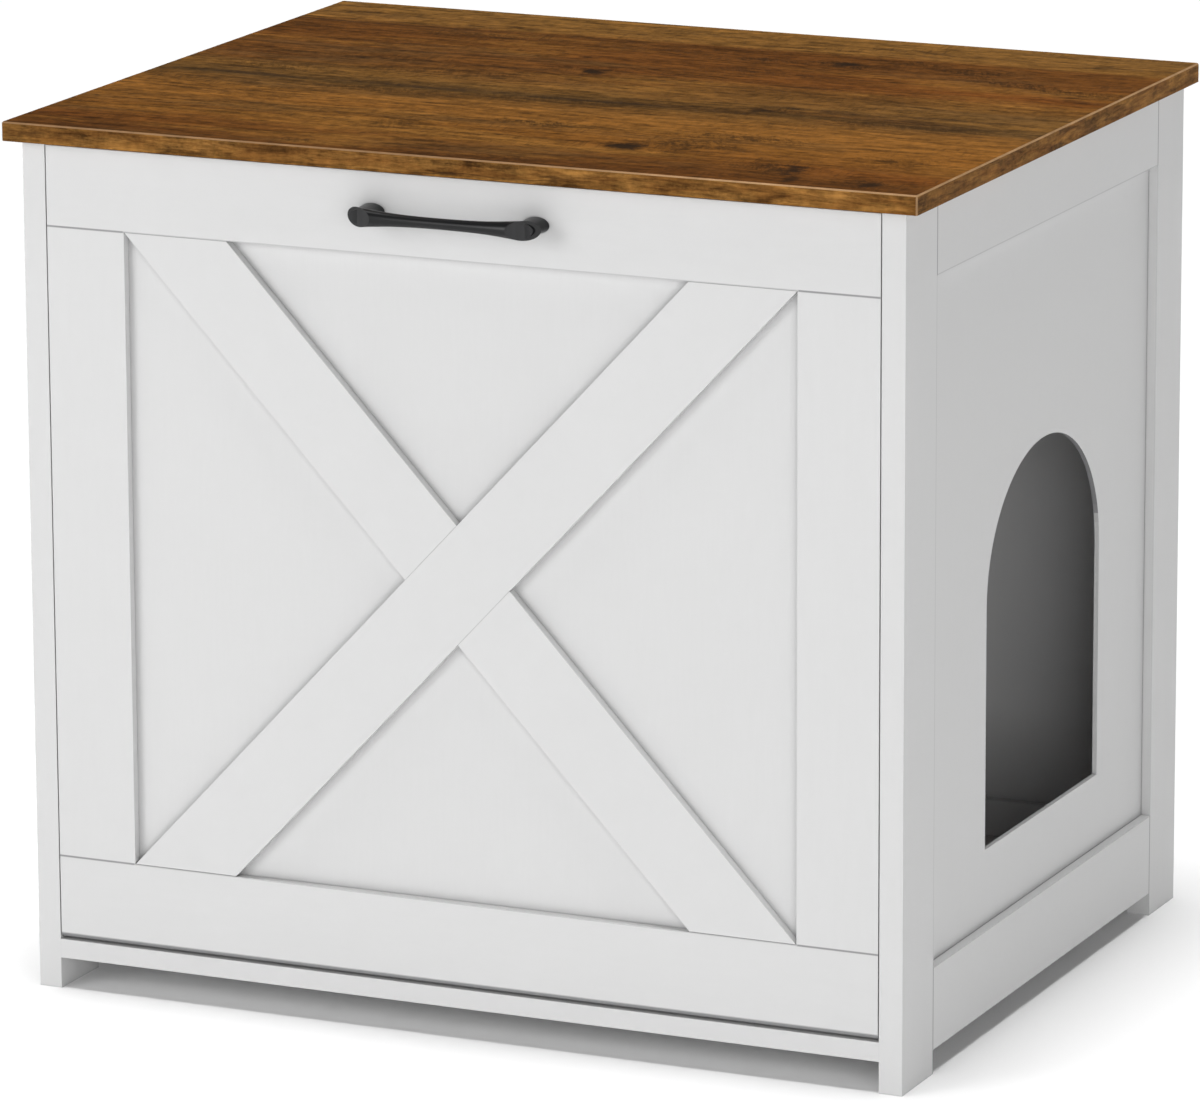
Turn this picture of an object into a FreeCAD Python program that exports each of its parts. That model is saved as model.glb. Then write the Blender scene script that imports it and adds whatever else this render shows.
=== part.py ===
import FreeCAD, Part
import os
import math
from FreeCAD import Vector, Placement, Rotation

# Cat litter box cabinet: a frame-and-panel carcass on four post feet with a wood-look top board,
# an arched cat doorway in the right side panel and a drop-front door with an X brace.
# Frame: millimetres, +Z up, +X to the right seen from the front, front door facing -Y.
# Origin: on the floor, in the middle of the overall box (handle front to carcass back).

os.makedirs("parts", exist_ok=True)
doc = FreeCAD.newDocument("LitterCabinet")
sheet = doc.addObject("Spreadsheet::Sheet", "Dims")

VALUES = [
    # carcass
    ("body_w", 580.0),          # over the posts, left to right
    ("body_d", 465.0),          # over the posts, front to back
    ("body_h", 536.0),          # posts, floor to underside of the top board
    ("frame_t", 15.0),          # thickness of posts, rails and door frame
    ("post_front", 49.0),       # width of a front post, front to back
    ("post_back", 45.5),        # width of a back post, front to back
    ("top_t", 12.0),            # top board thickness
    ("over_side", 10.0),        # top board overhang, each side
    ("over_front", 8.0),        # top board overhang, front
    ("arris", 0.9),             # chamfer round the top board
    ("side_low", 15.0),         # underside of the bottom side rails
    ("side_rail_b", 51.5),      # bottom side rail height
    ("side_rail_u", 46.5),      # top side rail height
    ("panel_t", 3.0),           # thin sheet of the panels
    ("groove_w", 3.2),          # groove for the sheet
    ("groove_d", 6.0),          # groove depth
    ("panel_in", 5.5),          # how far a sheet enters its groove
    ("floor_low", 19.7),        # underside of the bottom board
    ("floor_t", 12.0),          # bottom board thickness
    ("back_rail_b", 41.0),      # bottom back rail height
    ("back_rail_u", 40.0),      # top back rail height
    ("stretch_back", 16.5),     # front stretcher, set back from the front
    ("stretch_h", 40.0),        # front stretcher height
    # arched doorway in the right panel, measured from the carcass front and the floor
    ("arch_near", 147.0),       # near jamb
    ("arch_far", 338.0),        # far jamb
    ("arch_sill", 113.5),       # sill height
    ("arch_spring", 265.0),     # where the jambs end
    ("arch_rise", 87.0),        # rise of the elliptical head
    # door
    ("door_gap", 0.8),          # gap to each post
    ("door_foot", 32.7),        # underside of the door
    ("door_head", 2.0),         # gap under the top board
    ("door_stile", 52.5),
    ("door_rail_b", 53.1),
    ("door_rail_u", 50.0),
    ("brace_run", 69.4),        # brace width along the rails
    ("brace_t", 6.0),           # brace thickness
    ("foot_round", 4.5),        # rounding of the door's lower front edge
    ("pivot_in", 6.0),          # hinge axis behind the door face
    ("pivot_up", 6.0),          # hinge axis above the door's underside
    ("pin_dia", 5.0),
    ("pin_len", 24.0),
    ("pin_out", 9.0),           # pin length outside the door
    ("bush_dia", 8.0),
    ("bush_bore", 5.1),
    ("bush_len", 10.0),
    # hardware
    ("dowel_dia", 6.0),
    ("dowel_len", 30.0),
    ("dowel_play", 0.5),        # space at each dowel end
    ("cam_dia", 14.8),
    ("cam_hole", 15.0),
    ("cam_back", 24.0),         # cam centre from the joint
    ("bolt_thread", 5.0),
    ("bolt_grip", 11.0),
    ("top_grip", 8.5),
    ("bolt_shank", 6.0),
    ("bolt_head", 6.0),
    ("bolt_neck", 4.0),
    ("bolt_bore", 7.0),
    ("play", 0.05),             # all-round play of a screw or pin in its hole
    ("magnet_x", 180.0),
    ("magnet_z", 514.0),
    ("sleeve_dia", 10.0),
    ("sleeve_len", 12.0),
    ("flange_dia", 13.0),
    ("flange_t", 1.2),
    ("magnet_dia", 7.0),
    ("magnet_len", 8.0),
    ("strike_dia", 16.0),
    ("strike_t", 1.2),
    # handle
    ("handle_out", 24.5),       # handle front from the door face
    ("handle_z", 510.0),        # handle centre height
    ("handle_cc", 108.0),       # screw spacing
    ("handle_half", 63.5),      # half the handle's length
    ("foot_rx", 8.4), ("foot_rz", 5.1),     # foot oval at the door
    ("neck_rx", 7.5), ("neck_rz", 4.9),     # foot oval where it joins the bar
    ("bar_mid_z", 3.4), ("bar_mid_y", 3.4), # bar half height and half depth, middle
    ("bar_end_z", 6.4), ("bar_end_y", 5.6), # bar half height and half depth, ends
    ("bar_axis", 19.7),         # bar centre line from the door face
    ("facet_angle", 28.0),      # slant of the flat oval facet on each end
    ("screw_dia", 4.0),
    ("screw_head", 8.0),
    ("screw_head_t", 2.4),
]
for row, (alias, value) in enumerate(VALUES, 1):
    sheet.set("A%d" % row, repr(value))
    sheet.setAlias("A%d" % row, alias)
doc.recompute()


class Q:
    """A dimension: the expression that drives it and its present value."""
    def __init__(self, text, val):
        self.text, self.val = text, float(val)

    def __add__(self, o):
        o = q(o)
        return Q("(%s + %s)" % (self.text, o.text), self.val + o.val)

    def __radd__(self, o):
        return q(o) + self

    def __sub__(self, o):
        o = q(o)
        return Q("(%s - %s)" % (self.text, o.text), self.val - o.val)

    def __rsub__(self, o):
        return q(o) - self

    def __mul__(self, o):
        o = q(o)
        return Q("(%s * %s)" % (self.text, o.text), self.val * o.val)

    def __rmul__(self, o):
        return q(o) * self

    def __truediv__(self, o):
        o = q(o)
        return Q("(%s / %s)" % (self.text, o.text), self.val / o.val)

    def __neg__(self):
        return Q("(0 - %s)" % self.text, -self.val)


def q(v):
    return v if isinstance(v, Q) else Q(repr(float(v)), v)


class Table:
    def __getattr__(self, name):
        return Q("Dims." + name, float(getattr(sheet, name)))


D = Table()

# derived places, in the cabinet's own frame
XO = D.body_w / 2                       # outer face of the right posts
XI = XO - D.frame_t                     # inner face of the right posts
XM = XO - D.frame_t / 2                 # middle of the side frame
YF = (D.handle_out - D.body_d) / 2      # front face of the posts
YB = (D.handle_out + D.body_d) / 2      # back face of the posts
ZU = D.body_h                           # underside of the top board
FLOOR = D.floor_low + D.floor_t
PIVOT_Y = YF + D.pivot_in
PIVOT_Z = D.door_foot + D.pivot_up

AXES = {
    "+X": Rotation(Vector(0, 1, 0), 90), "-X": Rotation(Vector(0, 1, 0), -90),
    "+Y": Rotation(Vector(1, 0, 0), -90), "-Y": Rotation(Vector(1, 0, 0), 90),
    "+Z": Rotation(), "-Z": Rotation(Vector(1, 0, 0), 180),
}
UNIT = {"+X": (1, 0, 0), "-X": (-1, 0, 0), "+Y": (0, 1, 0), "-Y": (0, -1, 0), "+Z": (0, 0, 1), "-Z": (0, 0, -1)}


def along(pos, way, dist):
    """The point that lies dist from pos in one of the six directions."""
    out = []
    for p, u in zip(pos, UNIT[way]):
        out.append(p if u == 0 else (q(p) + dist if u > 0 else q(p) - dist))
    return tuple(out)


def place(obj, pos, rot=None):
    nums = [q(p) for p in pos]
    obj.Placement = Placement(Vector(*[n.val for n in nums]), rot or Rotation())
    for axis, n in zip("xyz", nums):
        obj.setExpression(".Placement.Base." + axis, n.text)
    return obj


def box(name, size, pos):
    o = doc.addObject("Part::Box", name)
    for prop, n in zip(("Length", "Width", "Height"), size):
        o.setExpression(prop, q(n).text)
    return place(o, pos)


def cyl(name, dia, length, pos, way="+Z"):
    o = doc.addObject("Part::Cylinder", name)
    o.setExpression("Radius", (q(dia) / 2).text)
    o.setExpression("Height", q(length).text)
    return place(o, pos, AXES[way])


def fuse(name, objs):
    if len(objs) == 1:
        return objs[0]
    o = doc.addObject("Part::MultiFuse", name)
    o.Shapes = objs
    return o


def cut(name, base, tools):
    o = doc.addObject("Part::Cut", name)
    o.Base = base
    o.Tool = fuse(name + "_cuts", tools)
    return o


def group(name, objs):
    o = doc.addObject("Part::Compound", name)
    o.Links = objs
    return o


def mirror(name, src):
    """The left-hand twin of a right-hand piece, mirrored in the cabinet's middle plane."""
    o = doc.addObject("Part::Mirroring", name)
    o.Source = src
    o.Base = Vector(0, 0, 0)
    o.Normal = Vector(1, 0, 0)
    return o


def plane(body, role):
    for f in body.Origin.OriginFeatures:
        if f.Role == role:
            return f
    raise RuntimeError("no plane " + role)


def outline(sk, pts):
    """Close a polygon in a sketch; each corner is dimensioned from the sketch origin."""
    pts = [(q(a), q(b)) for a, b in pts]
    n = len(pts)
    base = sk.GeometryCount
    for i in range(n):
        a, b = pts[i], pts[(i + 1) % n]
        sk.addGeometry(Part.LineSegment(Vector(a[0].val, a[1].val, 0), Vector(b[0].val, b[1].val, 0)), False)
    import Sketcher
    for i in range(n):
        sk.addConstraint(Sketcher.Constraint("Coincident", base + i, 2, base + (i + 1) % n, 1))
    for i, (u, v) in enumerate(pts):
        for kind, axis, val in (("DistanceX", -2, u), ("DistanceY", -1, v)):
            if abs(val.val) < 1e-9:
                sk.addConstraint(Sketcher.Constraint("PointOnObject", base + i, 1, axis))
            else:
                c = sk.addConstraint(Sketcher.Constraint(kind, -1, 1, base + i, 1, val.val))
                sk.setExpression("Constraints[%d]" % c, val.text)


def holes(sk, centres, dia):
    """Round holes in a sketch, with centres and diameter driven by the sheet."""
    import Sketcher
    for u, v in centres:
        u, v = q(u), q(v)
        g = sk.addGeometry(Part.Circle(Vector(u.val, v.val, 0), Vector(0, 0, 1), q(dia).val / 2), False)
        for kind, val in (("DistanceX", u), ("DistanceY", v)):
            c = sk.addConstraint(Sketcher.Constraint(kind, -1, 1, g, 3, val.val))
            sk.setExpression("Constraints[%d]" % c, val.text)
        c = sk.addConstraint(Sketcher.Constraint("Diameter", g, q(dia).val))
        sk.setExpression("Constraints[%d]" % c, q(dia).text)


def sketch(body, name, role, offset=None):
    sk = body.newObject("Sketcher::SketchObject", name)
    sk.AttachmentSupport = [(plane(body, role), "")]
    sk.MapMode = "FlatFace"
    if offset is not None:
        sk.setExpression(".AttachmentOffset.Base.z", q(offset).text)
    return sk


def pad(body, name, sk, length, back=False):
    f = body.newObject("PartDesign::Pad", name)
    f.Profile = sk
    f.setExpression("Length", q(length).text)
    f.Reversed = back
    body.Tip = f
    return f


def pocket(body, name, sk, depth, up):
    """Cut a sketch into the body and make sure that it took material away."""
    doc.recompute()
    before = body.Shape.Volume
    f = body.newObject("PartDesign::Pocket", name)
    f.Profile = sk
    f.setExpression("Length", q(depth).text)
    f.Reversed = up
    body.Tip = f
    doc.recompute()
    if not body.Shape.Volume < before - 1e-3:
        raise RuntimeError(name + " cut nothing")
    return f


KEPT = []


def keep(obj, label):
    obj.Label = label
    KEPT.append(obj)
    return obj


# ---------------------------------------------------------------- knock-down fittings
# Each cam joint is made on the right-hand side: the bolt screws into a post or the top board, its
# head sits in a cam disc, and the board that holds the disc has a cross bore for the shank.
bolts, cams = [], []


def cam_joint(name, at, way, face, reach, depth, grip):
    """at: bolt axis at the joint face; way: into the board with the cam; face: towards the face
    where the cam is let in; reach: from the bolt axis to that face; depth: of the cam's hole."""
    other = way.translate(str.maketrans("+-", "-+"))
    inward = face.translate(str.maketrans("+-", "-+"))
    bolt = fuse(name + "_bolt", [
        cyl(name + "_thread", D.bolt_thread, grip + 1, along(at, way, 1.0), other),
        cyl(name + "_shank", D.bolt_shank, 18.0, at, way),
        cyl(name + "_neck", D.bolt_neck, 5.0, along(at, way, 17.5), way),
        cyl(name + "_head", D.bolt_head, 3.2, along(at, way, 21.8), way)])
    centre = along(at, way, D.cam_back)
    rim = along(centre, face, reach)
    disc = cyl(name + "_disc", D.cam_dia, depth - 0.3, along(rim, inward, 0.1), inward)
    channel = cyl(name + "_channel", D.bolt_head + 0.8, D.cam_dia / 2 + 4, along(centre, other, D.cam_dia / 2 + 1), way)
    # cross slot for the screwdriver, let into the visible face of the disc
    lengths = {"X": (9.0, 1.6, 1.6), "Y": (1.6, 9.0, 1.6), "Z": (1.6, 1.6, 9.0)}
    slots = []
    for k in [c for c in "XYZ" if c != face[1]]:
        size = dict(zip("XYZ", lengths[k]))
        size[face[1]] = 2.4
        corner = [q(rim[i]) - size[c] / 2 for i, c in enumerate("XYZ")]
        slots.append(box(name + "_slot" + k, (size["X"], size["Y"], size["Z"]), corner))
    cam = cut(name + "_cam", disc, [channel] + slots)
    bolts.append(bolt)
    cams.append(cam)
    return {
        "thread": cyl(name + "_pilot", D.bolt_thread + 2 * D.play, grip + 1.3, along(at, way, 1.0), other),
        "bore": cyl(name + "_bore", D.bolt_bore, D.cam_back, along(at, other, 0.0), way),
        "seat": cyl(name + "_seat", D.cam_hole, depth + 1.0, along(rim, face, 1.0), inward),
    }


# bottom board to the front and back posts; cams under the board
floor_mid = D.floor_low + D.floor_t / 2
cj_ff = cam_joint("cam_floor_front", (XI, YF + 26.0, floor_mid), "-X", "-Z", D.floor_t / 2, q(9.5), D.bolt_grip)
cj_fb = cam_joint("cam_floor_back", (XI, YB - 25.0, floor_mid), "-X", "-Z", D.floor_t / 2, q(9.5), D.bolt_grip)
# front stretcher to the front posts; cams on its hidden inner face
st_mid = YF + D.stretch_back + D.frame_t / 2
cj_st = cam_joint("cam_stretcher", (XI, st_mid, ZU - 20.0), "-X", "+Y", D.frame_t / 2, q(12.0), D.bolt_grip)
# back rails to the back posts; the top one has its cams inside, the bottom one at the back
back_mid = YB - D.frame_t / 2
cj_bu = cam_joint("cam_back_top", (XI, back_mid, ZU - 20.0), "-X", "-Y", D.frame_t / 2, q(12.0), D.bolt_grip)
cj_bb = cam_joint("cam_back_low", (XI, back_mid, D.side_low + 18.0), "-X", "+Y", D.frame_t / 2, q(12.0), D.bolt_grip)
# top board to the top side rails; cams on the rails' inner faces
cj_t1 = cam_joint("cam_top_front", (XM, YF + 100.0, ZU), "-Z", "-X", D.frame_t / 2, q(12.0), D.top_grip)
cj_t2 = cam_joint("cam_top_back", (XM, YB - 100.0, ZU), "-Z", "-X", D.frame_t / 2, q(12.0), D.top_grip)

# ---------------------------------------------------------------- dowels between side rails and posts
dowels, dowel_holes = [], []
low_z = (D.side_low + 12.0, D.side_low + 34.0)
high_z = (ZU - D.side_rail_u + 13.0, ZU - 12.0)
for tag, y in (("front", YF + D.post_front), ("back", YB - D.post_back)):
    for k, z in enumerate(low_z + high_z):
        dowels.append(cyl("dowel_%s_%d" % (tag, k), D.dowel_dia, D.dowel_len,
                          (XM, y - D.dowel_len / 2, z), "+Y"))
        dowel_holes.append(cyl("dowel_hole_%s_%d" % (tag, k), D.dowel_dia + 2 * D.play, D.dowel_len + 2 * D.dowel_play,
                               (XM, y - D.dowel_len / 2 - D.dowel_play, z), "+Y"))
front_holes, back_holes = dowel_holes[:4], dowel_holes[4:]

# ---------------------------------------------------------------- posts
# Upright boards that reach the floor. The edge that faces the panel has a stopped groove for it,
# the back posts have a second groove in the inner face for the back panel.
groove_lo = D.side_low + D.side_rail_b - D.groove_d
groove_hi = ZU - D.side_rail_u + D.groove_d
bush_seat = cyl("bush_seat", D.bush_dia + 2 * D.play, D.bush_len + 1.3, (XI - 1, PIVOT_Y, PIVOT_Z), "+X")
post_fr = cut("post_front_right_", box("post_fr_board", (D.frame_t, D.post_front, ZU), (XI, YF, 0)), [
    box("post_fr_groove", (D.groove_w, D.groove_d + 1, groove_hi - groove_lo),
        (XM - D.groove_w / 2, YF + D.post_front - D.groove_d, groove_lo)),
    cj_ff["thread"], cj_st["thread"], bush_seat] + front_holes)
keep(post_fr, "post_front_right")
keep(mirror("post_front_left_", post_fr), "post_front_left")

back_lo = D.side_low + D.back_rail_b - D.groove_d
back_hi = ZU - D.back_rail_u + D.groove_d
post_br = cut("post_back_right_", box("post_br_board", (D.frame_t, D.post_back, ZU), (XI, YB - D.post_back, 0)), [
    box("post_br_groove", (D.groove_w, D.groove_d + 1, groove_hi - groove_lo),
        (XM - D.groove_w / 2, YB - D.post_back - 1, groove_lo)),
    box("post_br_back_groove", (D.groove_d + 1, D.groove_w, back_hi - back_lo),
        (XI - 1, back_mid - D.groove_w / 2, back_lo)),
    cj_fb["thread"], cj_bu["thread"], cj_bb["thread"]] + back_holes)
keep(post_br, "post_back_right")
keep(mirror("post_back_left_", post_br), "post_back_left")

# ---------------------------------------------------------------- side rails
rail_y = YF + D.post_front
rail_len = D.body_d - D.post_front - D.post_back
rail_br = cut("side_rail_bottom_right_", box("rail_br_board", (D.frame_t, rail_len, D.side_rail_b), (XI, rail_y, D.side_low)), [
    box("rail_br_groove", (D.groove_w, rail_len + 2, D.groove_d + 1),
        (XM - D.groove_w / 2, rail_y - 1, D.side_low + D.side_rail_b - D.groove_d)),
    front_holes[0], front_holes[1], back_holes[0], back_holes[1]])
keep(rail_br, "side_rail_bottom_right")
keep(mirror("side_rail_bottom_left_", rail_br), "side_rail_bottom_left")
rail_tr = cut("side_rail_top_right_", box("rail_tr_board", (D.frame_t, rail_len, D.side_rail_u), (XI, rail_y, ZU - D.side_rail_u)), [
    box("rail_tr_groove", (D.groove_w, rail_len + 2, D.groove_d + 1),
        (XM - D.groove_w / 2, rail_y - 1, ZU - D.side_rail_u - 1)),
    front_holes[2], front_holes[3], back_holes[2], back_holes[3],
    cj_t1["bore"], cj_t1["seat"], cj_t2["bore"], cj_t2["seat"]])
keep(rail_tr, "side_rail_top_right")
keep(mirror("side_rail_top_left_", rail_tr), "side_rail_top_left")

# ---------------------------------------------------------------- side panels
# Thin sheets. The sketch lies in the panel's plane: u runs to the back, v runs up, both from the
# sheet's lower front corner. The right sheet has the arched doorway, the left sheet is plain.
sheet_w = rail_len + 2 * D.panel_in
sheet_h = ZU - D.side_low - D.side_rail_b - D.side_rail_u + 2 * D.panel_in
sheet_y = rail_y - D.panel_in
sheet_z = D.side_low + D.side_rail_b - D.panel_in


def side_sheet(name, arch):
    import Sketcher
    body = doc.addObject("PartDesign::Body", name)
    sk = sketch(body, name + "_outline", "YZ_Plane")
    outline(sk, [(0, 0), (sheet_w, 0), (sheet_w, sheet_h), (0, sheet_h)])
    pad(body, name + "_sheet", sk, D.panel_t)
    if arch:
        u0 = D.arch_near - D.post_front + D.panel_in
        u1 = D.arch_far - D.post_front + D.panel_in
        v0 = D.arch_sill - sheet_z
        v1 = D.arch_spring - sheet_z
        half = (u1 - u0) / 2
        sa = sketch(body, name + "_doorway", "YZ_Plane")
        a, b = Vector(u0.val, v1.val, 0), Vector(u0.val, v0.val, 0)
        c, d = Vector(u1.val, v0.val, 0), Vector(u1.val, v1.val, 0)
        sa.addGeometry(Part.LineSegment(a, b), False)
        sa.addGeometry(Part.LineSegment(b, c), False)
        sa.addGeometry(Part.LineSegment(c, d), False)
        mid = Vector((u0.val + u1.val) / 2, v1.val, 0)
        ell = Part.Ellipse(mid + Vector(half.val, 0, 0), mid + Vector(0, D.arch_rise.val, 0), mid)
        g = sa.addGeometry(Part.ArcOfEllipse(ell, 0.0, math.pi), False)
        sa.exposeInternalGeometry(g)
        major = g + 1
        minor = g + 2
        for x, xp, y, yp in ((0, 2, 1, 1), (1, 2, 2, 1)):
            sa.addConstraint(Sketcher.Constraint("Coincident", x, xp, y, yp))
        sa.addConstraint(Sketcher.Constraint("Coincident", 2, 2, g, 1))
        sa.addConstraint(Sketcher.Constraint("Coincident", 0, 1, g, 2))
        sa.addConstraint(Sketcher.Constraint("Vertical", 0))
        sa.addConstraint(Sketcher.Constraint("Horizontal", 1))
        sa.addConstraint(Sketcher.Constraint("Vertical", 2))
        for kind, where, val in (("DistanceX", (0, 2), u0), ("DistanceY", (0, 2), v0),
                                 ("DistanceX", (2, 1), u1), ("DistanceY", (0, 1), v1),
                                 ("DistanceY", (2, 2), v1), ("DistanceY", (g, 3), v1)):
            k = sa.addConstraint(Sketcher.Constraint(kind, -1, 1, where[0], where[1], val.val))
            sa.setExpression("Constraints[%d]" % k, val.text)
        k = sa.addConstraint(Sketcher.Constraint("Distance", minor, 2 * D.arch_rise.val))
        sa.setExpression("Constraints[%d]" % k, (2 * D.arch_rise).text)
        doc.recompute()
        pocket(body, name + "_opening", sa, D.panel_t, True)
    return body


panel_r = side_sheet("side_panel_right_", True)
place(panel_r, (XM - D.panel_t / 2, sheet_y, sheet_z))
keep(panel_r, "side_panel_right")
panel_l = side_sheet("side_panel_left_", False)
place(panel_l, (-XM - D.panel_t / 2, sheet_y, sheet_z))
keep(panel_l, "side_panel_left")

# ---------------------------------------------------------------- bottom board, stretcher, back
floor_tools = [cj_ff["bore"], cj_ff["seat"], cj_fb["bore"], cj_fb["seat"]]
keep(cut("bottom_board_", box("bottom_board_blank", (2 * XI, D.body_d - D.frame_t, D.floor_t), (-XI, YF, D.floor_low)),
         floor_tools + [mirror("floor_tools_left", group("floor_tools_right", floor_tools))]), "bottom_board")

sleeve_seat = cyl("sleeve_seat", D.sleeve_dia + 2 * D.play, D.sleeve_len + 0.5,
                  (D.magnet_x, YF + D.stretch_back - 0.2, D.magnet_z), "+Y")
st_tools = [cj_st["bore"], cj_st["seat"], sleeve_seat]
keep(cut("front_stretcher_", box("stretcher_blank", (2 * XI, D.frame_t, D.stretch_h), (-XI, YF + D.stretch_back, ZU - D.stretch_h)),
         st_tools + [mirror("st_tools_left", group("st_tools_right", st_tools))]), "front_stretcher")

bu_tools = [cj_bu["bore"], cj_bu["seat"]]
keep(cut("back_rail_top_", box("back_top_blank", (2 * XI, D.frame_t, D.back_rail_u), (-XI, YB - D.frame_t, ZU - D.back_rail_u)),
         bu_tools + [mirror("bu_tools_left", group("bu_tools_right", bu_tools)),
                     box("back_top_groove", (2 * XI + 2, D.groove_w, D.groove_d + 1),
                         (-XI - 1, back_mid - D.groove_w / 2, ZU - D.back_rail_u - 1))]), "back_rail_top")
bb_tools = [cj_bb["bore"], cj_bb["seat"]]
keep(cut("back_rail_bottom_", box("back_low_blank", (2 * XI, D.frame_t, D.back_rail_b), (-XI, YB - D.frame_t, D.side_low)),
         bb_tools + [mirror("bb_tools_left", group("bb_tools_right", bb_tools)),
                     box("back_low_groove", (2 * XI + 2, D.groove_w, D.groove_d + 1),
                         (-XI - 1, back_mid - D.groove_w / 2, D.side_low + D.back_rail_b - D.groove_d))]), "back_rail_bottom")

back = doc.addObject("PartDesign::Body", "back_panel_")
back_w = 2 * XI + 2 * D.panel_in
back_h = ZU - D.side_low - D.back_rail_b - D.back_rail_u + 2 * D.panel_in
sk = sketch(back, "back_panel_outline", "XZ_Plane")
outline(sk, [(0, 0), (back_w, 0), (back_w, back_h), (0, back_h)])
pad(back, "back_panel_sheet", sk, D.panel_t, True)
place(back, (-XI - D.panel_in, back_mid - D.panel_t / 2, D.side_low + D.back_rail_b - D.panel_in))
keep(back, "back_panel")

# ---------------------------------------------------------------- top board
top = doc.addObject("PartDesign::Body", "top_board_")
top_w = D.body_w + 2 * D.over_side
top_d = D.body_d + D.over_front
sk = sketch(top, "top_outline", "XY_Plane")
outline(sk, [(0, 0), (top_w, 0), (top_w, top_d), (0, top_d)])
pad(top, "top_slab", sk, D.top_t)
sk = sketch(top, "top_pilots", "XY_Plane")
x_r, x_l = XM + top_w / 2, top_w / 2 - XM
holes(sk, [(x_r, D.over_front + 100.0), (x_l, D.over_front + 100.0),
           (x_r, top_d - 100.0), (x_l, top_d - 100.0)], D.bolt_thread + 2 * D.play)
pocket(top, "top_pilot_holes", sk, D.top_grip + 0.3, True)
sharp = []
for k, e in enumerate(top.Shape.Edges, 1):
    b = e.BoundBox
    if b.XLength + b.YLength < 1e-6 and b.ZLength > 11:
        sharp.append("Edge%d" % k)
    elif b.ZMin > D.top_t.val - 1e-6:
        sharp.append("Edge%d" % k)
slab = top.Tip
arris = top.newObject("PartDesign::Chamfer", "top_arris")
arris.Base = (slab, sharp)
arris.setExpression("Size", D.arris.text)
top.Tip = arris
place(top, (-top_w / 2, YF - D.over_front, ZU))
keep(top, "top_board")

# ---------------------------------------------------------------- fittings of the carcass
keep(group("cam_bolts_", bolts + [mirror("cam_bolts_left", group("cam_bolts_right", bolts))]), "cam_bolts")
keep(group("cam_discs_", cams + [mirror("cam_discs_left", group("cam_discs_right", cams))]), "cam_discs")
keep(group("frame_dowels_", dowels + [mirror("frame_dowels_left", group("frame_dowels_right", dowels))]), "frame_dowels")

bush = cut("bush_right", cyl("bush_outer", D.bush_dia, D.bush_len, (XI, PIVOT_Y, PIVOT_Z), "+X"),
           [cyl("bush_hole", D.bush_bore, D.pin_out + 0.2, (XI - 1, PIVOT_Y, PIVOT_Z), "+X")])
keep(group("pivot_bushes_", [bush, mirror("bush_left", bush)]), "pivot_bushes")

sleeve_y = YF + D.stretch_back
sleeve = cut("sleeve_right", fuse("sleeve_solid", [
    cyl("sleeve_barrel", D.sleeve_dia, D.sleeve_len, (D.magnet_x, sleeve_y, D.magnet_z), "+Y"),
    cyl("sleeve_flange", D.flange_dia, D.flange_t, (D.magnet_x, sleeve_y - D.flange_t, D.magnet_z), "+Y")]),
    [cyl("sleeve_bore", D.magnet_dia + 2 * D.play, D.magnet_len + D.flange_t + 1,
         (D.magnet_x, sleeve_y - D.flange_t - 1, D.magnet_z), "+Y")])
keep(group("catch_sleeves_", [sleeve, mirror("sleeve_left", sleeve)]), "catch_sleeves")
magnet = cyl("magnet_right", D.magnet_dia, D.magnet_len, (D.magnet_x, sleeve_y - D.flange_t + 0.2, D.magnet_z), "+Y")
keep(group("catch_magnets_", [magnet, mirror("magnet_left", magnet)]), "catch_magnets")

# ---------------------------------------------------------------- door
DX = XI - D.door_gap                    # half the door's width
DZ = D.door_foot                        # underside
DH = ZU - D.door_head - DZ              # height
stile_lo = DZ + D.door_rail_b
stile_hi = DZ + DH - D.door_rail_u
IX = DX - D.door_stile                  # half the inner width
inner_w = 2 * IX
inner_h = stile_hi - stile_lo
door_mid = YF + D.frame_t / 2

door_dowels, door_holes = [], []
for k, dx in enumerate((-13.0, 13.0)):
    for tag, z in (("low", stile_lo), ("high", stile_hi)):
        x = DX - D.door_stile / 2 + dx
        door_dowels.append(cyl("door_dowel_%s_%d" % (tag, k), D.dowel_dia, D.dowel_len, (x, door_mid, z - D.dowel_len / 2)))
        door_holes.append(cyl("door_dowel_hole_%s_%d" % (tag, k), D.dowel_dia + 2 * D.play, D.dowel_len + 2 * D.dowel_play,
                              (x, door_mid, z - D.dowel_len / 2 - D.dowel_play)))
low_holes, high_holes = [door_holes[0], door_holes[2]], [door_holes[1], door_holes[3]]

stile = cut("door_stile_right_", box("door_stile_board", (D.door_stile, D.frame_t, stile_hi - stile_lo), (IX, YF, stile_lo)), [
    box("door_stile_groove", (D.groove_d + 1, D.groove_w, stile_hi - stile_lo + 2),
        (IX - 1, door_mid - D.groove_w / 2, stile_lo - 1))] + door_holes)
keep(stile, "door_stile_right")
keep(mirror("door_stile_left_", stile), "door_stile_left")

# bottom rail: the lower front edge is rounded so that it clears the strip below as the door drops
rail = doc.addObject("PartDesign::Body", "door_rail_low")
sk = sketch(rail, "door_rail_low_section", "YZ_Plane")
r = D.foot_round
import Sketcher
y0, z0, rr, t, hh = 0.0, 0.0, r.val, D.frame_t.val, D.door_rail_b.val
sk.addGeometry(Part.LineSegment(Vector(rr, 0, 0), Vector(t, 0, 0)), False)
sk.addGeometry(Part.LineSegment(Vector(t, 0, 0), Vector(t, hh, 0)), False)
sk.addGeometry(Part.LineSegment(Vector(t, hh, 0), Vector(0, hh, 0)), False)
sk.addGeometry(Part.LineSegment(Vector(0, hh, 0), Vector(0, rr, 0)), False)
sk.addGeometry(Part.ArcOfCircle(Part.Circle(Vector(rr, rr, 0), Vector(0, 0, 1), rr), math.pi, 1.5 * math.pi), False)
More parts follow.
